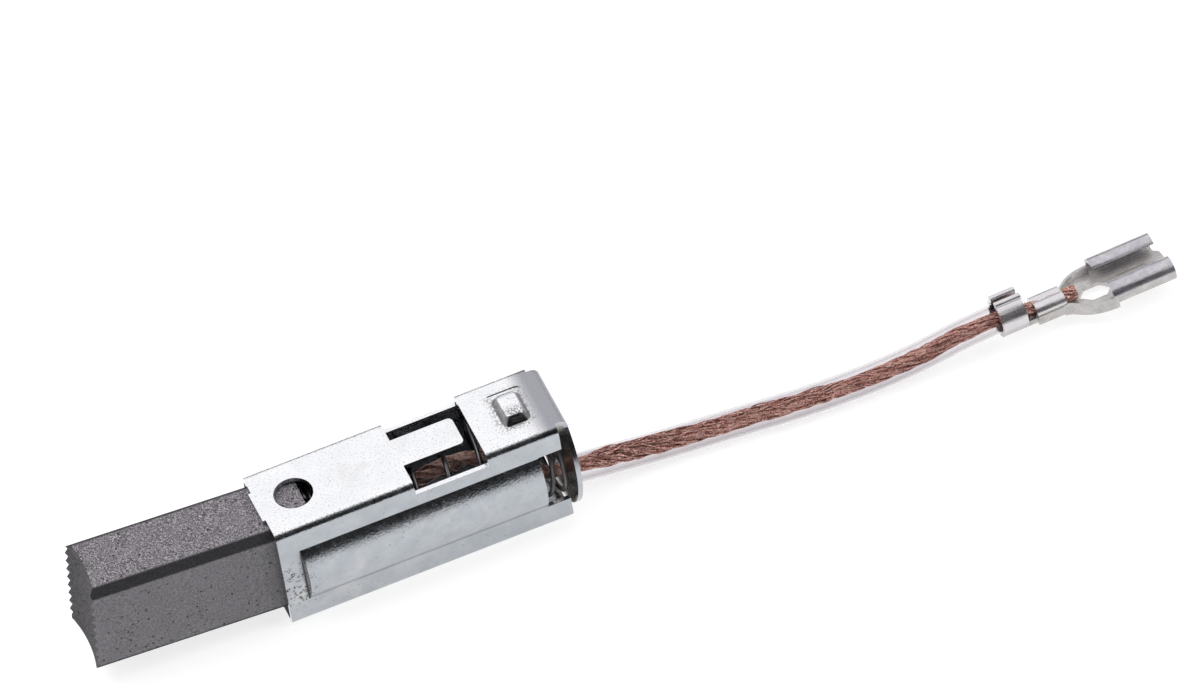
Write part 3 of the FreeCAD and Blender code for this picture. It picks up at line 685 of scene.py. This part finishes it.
def rope_mesh(name, line, material, radius, lay, seed, swell, slack, stray=0):
    """A bunched copper rope: fine wires round a core, and stray ones above its first part."""
    rng = random.Random(seed)
    stations = frames_along(line)
    along = [0.0]
    for a, b in zip(line, line[1:]):
        along.append(along[-1] + (b - a).length)
    tracks = [(2 * math.pi * w / ROPE_WIRES, ROPE_WIRE_RADIUS, 1) for w in range(ROPE_WIRES)]
    tracks += [(rng.uniform(*STRAY_SPREAD), STRAY_THICKNESS * ROPE_WIRE_RADIUS, 0)
               for _ in range(stray)]
    verts, faces, uvs = [], [], []
    for start, thick, twist in tracks:
        phase, wander = rng.uniform(0, 2 * math.pi), rng.uniform(0.5, 1.0)
        path = wire_path(stations, along, radius, lay, swell, slack, start, twist, phase, wander)
        ring_verts, ring_faces = sweep(path, thick * rng.uniform(0.85, 1.15), ROPE_WIRE_SIDES,
                                       first=len(verts))
        verts += ring_verts
        faces += ring_faces
        shift = rng.uniform(0, 40)
        uvs += [(shift + along[i // ROPE_WIRE_SIDES], i % ROPE_WIRE_SIDES / ROPE_WIRE_SIDES)
                for i in range(len(ring_verts))]
    core_verts, core_faces = sweep(line, radius - 1.5 * ROPE_WIRE_RADIUS, ROPE_CORE_SIDES,
                                   first=len(verts))
    verts += core_verts
    faces += core_faces
    uvs += [(along[i // ROPE_CORE_SIDES], i % ROPE_CORE_SIDES) for i in range(len(core_verts))]
    obj = new_object(name, verts, faces)
    write_uv(obj, uvs)
    obj.data.materials.append(material)
    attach(obj, "cartridge")
    return obj


def sleeve_piece(line, material):
    """The clear sleeve: an outer and an inner wall joined at both ends."""
    outer, outer_faces = sweep(line, SLEEVE_RADIUS, SLEEVE_SIDES, capped=False)
    inner, inner_faces = sweep(line, SLEEVE_BORE, SLEEVE_SIDES, capped=False, first=len(outer))
    faces = outer_faces + [tuple(reversed(f)) for f in inner_faces]
    for ring, flip in ((0, False), (len(line) - 1, True)):
        for k in range(SLEEVE_SIDES):
            a = ring * SLEEVE_SIDES + k
            b = ring * SLEEVE_SIDES + (k + 1) % SLEEVE_SIDES
            quad = (a, b, b + len(outer), a + len(outer))
            faces.append(tuple(reversed(quad)) if flip else quad)
    obj = new_object("clear_sleeve", outer + inner, faces)
    obj.data.set_sharp_from_angle(angle=math.radians(SLEEVE_EDGE_ANGLE))
    obj.data.materials.append(material)
    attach(obj, "cartridge")
    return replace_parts(obj, "sleeve")


def lead():
    """The ropes and the sleeve, from the block through the end plate to the receptacle."""
    lead_copper = copper("lead_copper", 0.85, gap_shade=(0.14, 0.055, 0.045), body=(0.88, 0.47, 0.39),
                         crest_highlight=(1.0, 0.88, 0.82))
    # painted light: a brighter copy of the copper for the rope inside the cartridge, standing in
    # for light that does not reach it there
    inner_copper_brightened = copper("inner_copper_brightened", 0.6, gap_shade=(0.06, 0.025, 0.02), body=(1.0, 0.62, 0.53),
                          crest_highlight=(1.0, 0.95, 0.90), broken_shade_share=0.5)
    rope_tail = [on_terminal(-3.0, 0), on_terminal(1.5, -0.1), on_terminal(3.9, -0.77),
                 on_terminal(8.6, -0.72)]
    rope_line = resample(nurbs_line(ROPE_HEAD + FLOOR_RUN + rope_tail), LEAD_STEP)
    rope = rope_mesh("lead_rope", rope_line, lead_copper, ROPE_RADIUS, LEAD_LAY, seed=4,
                     swell=sleeve_swell, slack=sleeve_slack, stray=16)
    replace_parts(rope, "shunt_lead")
    sleeve_tail = [on_terminal(-3.0, 0), on_terminal(3.0, 0)]
    sleeve_line = resample(nurbs_line(SLEEVE_HEAD + FLOOR_RUN + sleeve_tail, resolution=40),
                           SLEEVE_STEP)
    sleeve = sleeve_piece(sleeve_line, clear_sleeve())
    inner_line = resample(nurbs_line(INNER_ROPE), INNER_STEP)
    inner = rope_mesh("inner_rope", inner_line, inner_copper_brightened, INNER_ROPE_RADIUS, INNER_LAY, seed=9,
                      swell=inner_swell, slack=inner_slack)
    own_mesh(inner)
    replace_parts(inner, "shunt_inner")


# Stage, light and camera

def floor_piece():
    """The surface on which the brush lies."""
    corners = [(x * FLOOR_HALF, y * FLOOR_HALF, 0) for x, y in ((-1, -1), (1, -1), (1, 1), (-1, 1))]
    floor = new_object("floor", corners, [(0, 1, 2, 3)], smooth=False, scale=1.0)
    floor.location = FLOOR_PLACE
    floor.data.materials.append(pale_floor())


def area_light(name, place, size, power):
    """A square light that faces the brush."""
    light = bpy.data.lights.new(name, "AREA")
    light.energy = power
    light.size = size
    lamp = bpy.data.objects.new(name, light)
    lamp.location = place
    lamp.rotation_mode = "QUATERNION"
    lamp.rotation_quaternion = (LIGHT_AIM - Vector(place)).to_track_quat("-Z", "Y")
    bpy.context.scene.collection.objects.link(lamp)


def world_light():
    """Light from all round, brightest from above, dark in one patch in front and one behind."""
    world = bpy.data.worlds.new("studio")
    world.use_nodes = True
    bpy.context.scene.world = world
    nodes, links = world.node_tree.nodes, world.node_tree.links
    background = nodes["Background"]
    coordinates = nodes.new("ShaderNodeTexCoord")

    def toward(direction, dark, bright, low, high):
        """Grey from dark to bright as the ray turns towards a direction."""
        dot = nodes.new("ShaderNodeVectorMath")
        dot.operation = "DOT_PRODUCT"
        dot.inputs[1].default_value = Vector(direction).normalized()
        links.new(coordinates.outputs["Generated"], dot.inputs[0])
        share = nodes.new("ShaderNodeMapRange")
        share.interpolation_type = "SMOOTHSTEP"
        share.inputs["From Min"].default_value = low
        share.inputs["From Max"].default_value = high
        share.inputs["To Min"].default_value = dark
        share.inputs["To Max"].default_value = bright
        links.new(dot.outputs["Value"], share.inputs["Value"])
        return share.outputs["Result"]

    def product(a, b):
        """Two greys multiplied."""
        node = nodes.new("ShaderNodeMath")
        node.operation = "MULTIPLY"
        links.new(a, node.inputs[0])
        links.new(b, node.inputs[1])
        return node.outputs[0]

    front = toward((0.0, -0.866, 0.5), 1.0, 0.03, 0.62, 0.84)
    above = toward((0.0, 0.45, 0.89), 0.55, 1.0, -0.1, 0.7)
    behind = toward((0.1, 0.99, 0.1), 1.0, 0.12, 0.96, 0.988)
    links.new(product(product(front, above), behind), background.inputs["Color"])
    background.inputs["Strength"].default_value = WORLD_STRENGTH


def camera():
    """The photograph's camera."""
    data = bpy.data.cameras.new("camera")
    data.lens = LENS
    data.sensor_width = SENSOR
    data.clip_start, data.clip_end = CLIP_START, CLIP_END
    cam = bpy.data.objects.new("camera", data)
    place = VIEW_TARGET + VIEW_BACK * VIEW_DISTANCE
    rotation = Matrix((VIEW_RIGHT, VIEW_UP, VIEW_BACK)).transposed().to_4x4()
    cam.matrix_world = Matrix.Translation(place) @ rotation
    bpy.context.scene.collection.objects.link(cam)
    bpy.context.scene.camera = cam


bpy.context.scene.view_settings.view_transform = "Standard"
camera()
lead()
spring_piece(spring_steel())
dress("holder", zinc_plate(), bevel=0.05)
dress("carbon_block", carbon(), bevel=0.05)
dress("terminal", tin_plate(), bevel=0.03)
dress("shunt_tamping", tamped_copper())
floor_piece()
area_light("key", **KEY_LIGHT)
area_light("side", **SIDE_LIGHT)
world_light()
